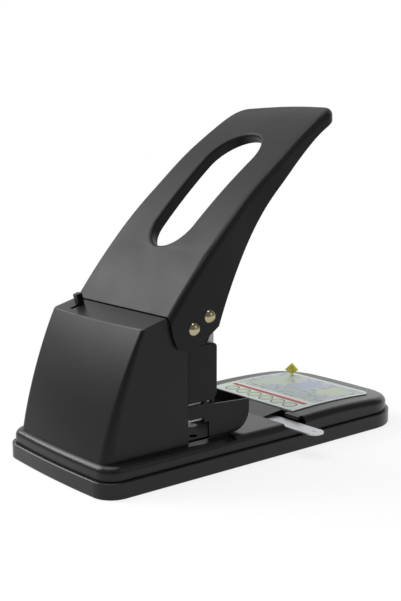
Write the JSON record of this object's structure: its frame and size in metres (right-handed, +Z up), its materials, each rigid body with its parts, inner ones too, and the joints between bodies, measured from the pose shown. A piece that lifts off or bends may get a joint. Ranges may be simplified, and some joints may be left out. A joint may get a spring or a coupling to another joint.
{
  "type": "two-hole lever punch",
  "caption": "Heavy-duty desk paper punch: a long hand lever with an oval hand hole drives hardened pins through a paper stack on a flat base with a sliding gauge.",
  "frame": {"origin": "centre of the base's flat underside", "axes": "+X across the machine to the right as seen from the front, -Y towards the front where paper goes in, +Z up"},
  "size_m": [0.152, 0.29, 0.2452],
  "materials": {
    "black_enamel": "black enamel, satin",
    "black_plastic": "moulded, satin to gloss",
    "steel_strip": "bright zinc",
    "steel_plain": "plain, lightly oiled",
    "hard_steel": "ground",
    "rivet_steel": "nickel, domed",
    "bronze": "sintered bronze",
    "spring_steel": "drawn wire",
    "card": "printed card, laminated",
    "yellow_film": "thin film",
    "screw_steel": "zinc"
  },
  "bodies": {
    "frame": {"base_shell": "black_plastic", "chassis_plate": "steel_plain", "label_plate": "card", "label_tab": "yellow_film", "ruler_spring": "spring_steel", "side_plate_left": "steel_plain", "side_plate_right": "steel_plain", "guide_block": "steel_plain", "guide_bushes": "bronze", "die_plate": "hard_steel", "die_bushes": "hard_steel", "paper_stop": "steel_plain", "rear_tie_rods": "steel_plain", "pivot_bushes": "bronze", "guard_studs": "steel_plain", "spring_washers": "steel_plain", "return_spring_left": "spring_steel", "return_spring_right": "spring_steel", "cheek_left": "black_enamel", "cheek_right": "black_enamel", "rear_cover": "black_plastic", "chassis_screws": "screw_steel", "cover_screws": "screw_steel", "foot_screws": "screw_steel", "die_screws": "screw_steel", "stop_screws": "screw_steel", "guide_screws": "screw_steel", "cheek_screws": "screw_steel"},
    "tray": {"bottom_tray": "black_plastic"},
    "lever": {"handle": "black_enamel", "pivot_pin": "rivet_steel", "drive_pin": "rivet_steel", "drive_rollers": "hard_steel"},
    "carriage": {"punch_carrier": "steel_plain", "carrier_cap": "steel_plain", "punch_left": "hard_steel", "punch_right": "hard_steel", "cap_screws": "screw_steel"},
    "guard": {"paper_guard": "black_plastic"},
    "gauge": {"ruler": "steel_strip"},
    "lock": {"lock_slider": "black_plastic", "lock_plate": "steel_plain"}
  },
  "joints": [
    {"name": "lever_hinge", "type": "hinge", "parent": "frame", "child": "lever", "pos_m": [0, 0.0662, 0.0992], "axis": [1, 0, 0], "range_deg": [0, 60], "stiffness_Nm_per_rad": 2, "springref_deg": -34.38},
    {"name": "carriage_slide", "type": "slide", "parent": "frame", "child": "carriage", "axis": [0, 0, -1], "range_m": [0, 0.015], "deforming": ["return_spring_left", "return_spring_right"]},
    {"name": "guard_lift", "type": "slide", "parent": "frame", "child": "guard", "axis": [0, 0, 1], "range_m": [0, 0.0138]},
    {"name": "gauge_slide", "type": "slide", "parent": "frame", "child": "gauge", "axis": [-1, 0, 0], "range_m": [-0.024, 0.042]},
    {"name": "lock_slide", "type": "slide", "parent": "frame", "child": "lock", "axis": [0, 0.9648, -0.2631], "range_m": [0, 0.006]},
    {"name": "tray_release", "type": "slide", "parent": "frame", "child": "tray", "axis": [0, 0, -1], "range_m": [0, 0.014]}
  ],
  "couplings": [
    {"joint": "carriage_slide", "follows": "lever_hinge", "m_per_rad": 0.014315}
  ]
}
